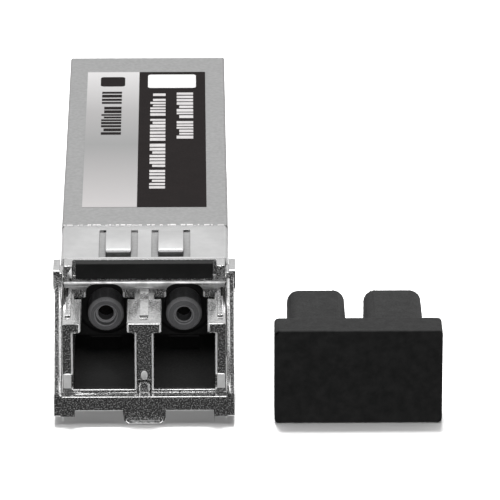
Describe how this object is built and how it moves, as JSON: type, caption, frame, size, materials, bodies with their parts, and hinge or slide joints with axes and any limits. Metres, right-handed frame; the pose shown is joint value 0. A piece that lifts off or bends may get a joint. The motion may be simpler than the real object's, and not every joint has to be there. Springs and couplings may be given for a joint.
{
  "type": "pluggable optical transceiver module",
  "caption": "Small pluggable optical transceiver with duplex square ports, a swinging bail that draws a latch slider, a card edge at the rear and a loose twin dust plug.",
  "frame": {"origin": "centre of the flat bottom face of the rear shell, 30 mm behind the front of the nose", "axes": "+Y from the ports to the card edge, +Z towards the label, X across the module, with the loose plug on the +X side"},
  "size_m": [0.0306, 0.0576, 0.0107],
  "materials": {
    "bright_nickel": "plated casting",
    "housing_alloy": "fine grained matte",
    "spring_steel": "smooth sheet",
    "label_film": "printed film",
    "black_plastic": "moulded",
    "barrel_grey": "moulded",
    "zirconia": "polished",
    "gilt_can": "plated",
    "retainer_steel": "stamped",
    "flex_film": "film",
    "board": "laminate",
    "gold_contact": "plated",
    "chip_body": "moulded",
    "chip_part": "fired",
    "gap_pad": "soft pad",
    "pin_steel": "ground",
    "bail_nickel": "plated casting",
    "slider_steel": "stamped",
    "plug_rubber": "soft moulded"
  },
  "bodies": {
    "module": {"nose_frame": "bright_nickel", "lower_housing": "housing_alloy", "top_cover": "housing_alloy", "emi_collar": "spring_steel", "label": "label_film", "colour_bar": "black_plastic", "receptacle": "black_plastic", "tx_barrel": "barrel_grey", "rx_barrel": "barrel_grey", "tx_sleeve": "zirconia", "rx_sleeve": "zirconia", "tosa_can": "gilt_can", "rosa_can": "gilt_can", "osa_retainer": "retainer_steel", "tx_flex": "flex_film", "rx_flex": "flex_film", "circuit_board": "board", "contacts_top": "gold_contact", "contacts_bottom": "gold_contact", "laser_driver": "chip_body", "limiting_amplifier": "chip_body", "memory_chip": "chip_body", "passives": "chip_part", "thermal_pad": "gap_pad", "pivot_pin_left": "pin_steel", "pivot_pin_right": "pin_steel"},
    "bail": {"bail": "bail_nickel"},
    "slider": {"latch_slider": "slider_steel"},
    "plug": {"dust_plug": "plug_rubber"}
  },
  "joints": [
    {"name": "bail_swing", "type": "hinge", "parent": "module", "child": "bail", "pos_m": [0, -0.0225, 0.0072], "axis": [-1, 0, 0], "range_deg": [0, 90]},
    {"name": "slider_travel", "type": "slide", "parent": "module", "child": "slider", "axis": [0, -1, 0], "range_m": [0, 0.0017]},
    {"name": "plug_away", "type": "slide", "parent": "module", "child": "plug", "axis": [0, -1, 0], "range_m": [0, 0.014]}
  ],
  "couplings": [
    {"joint": "slider_travel", "follows": "bail_swing", "m_per_rad": 0.00108}
  ]
}
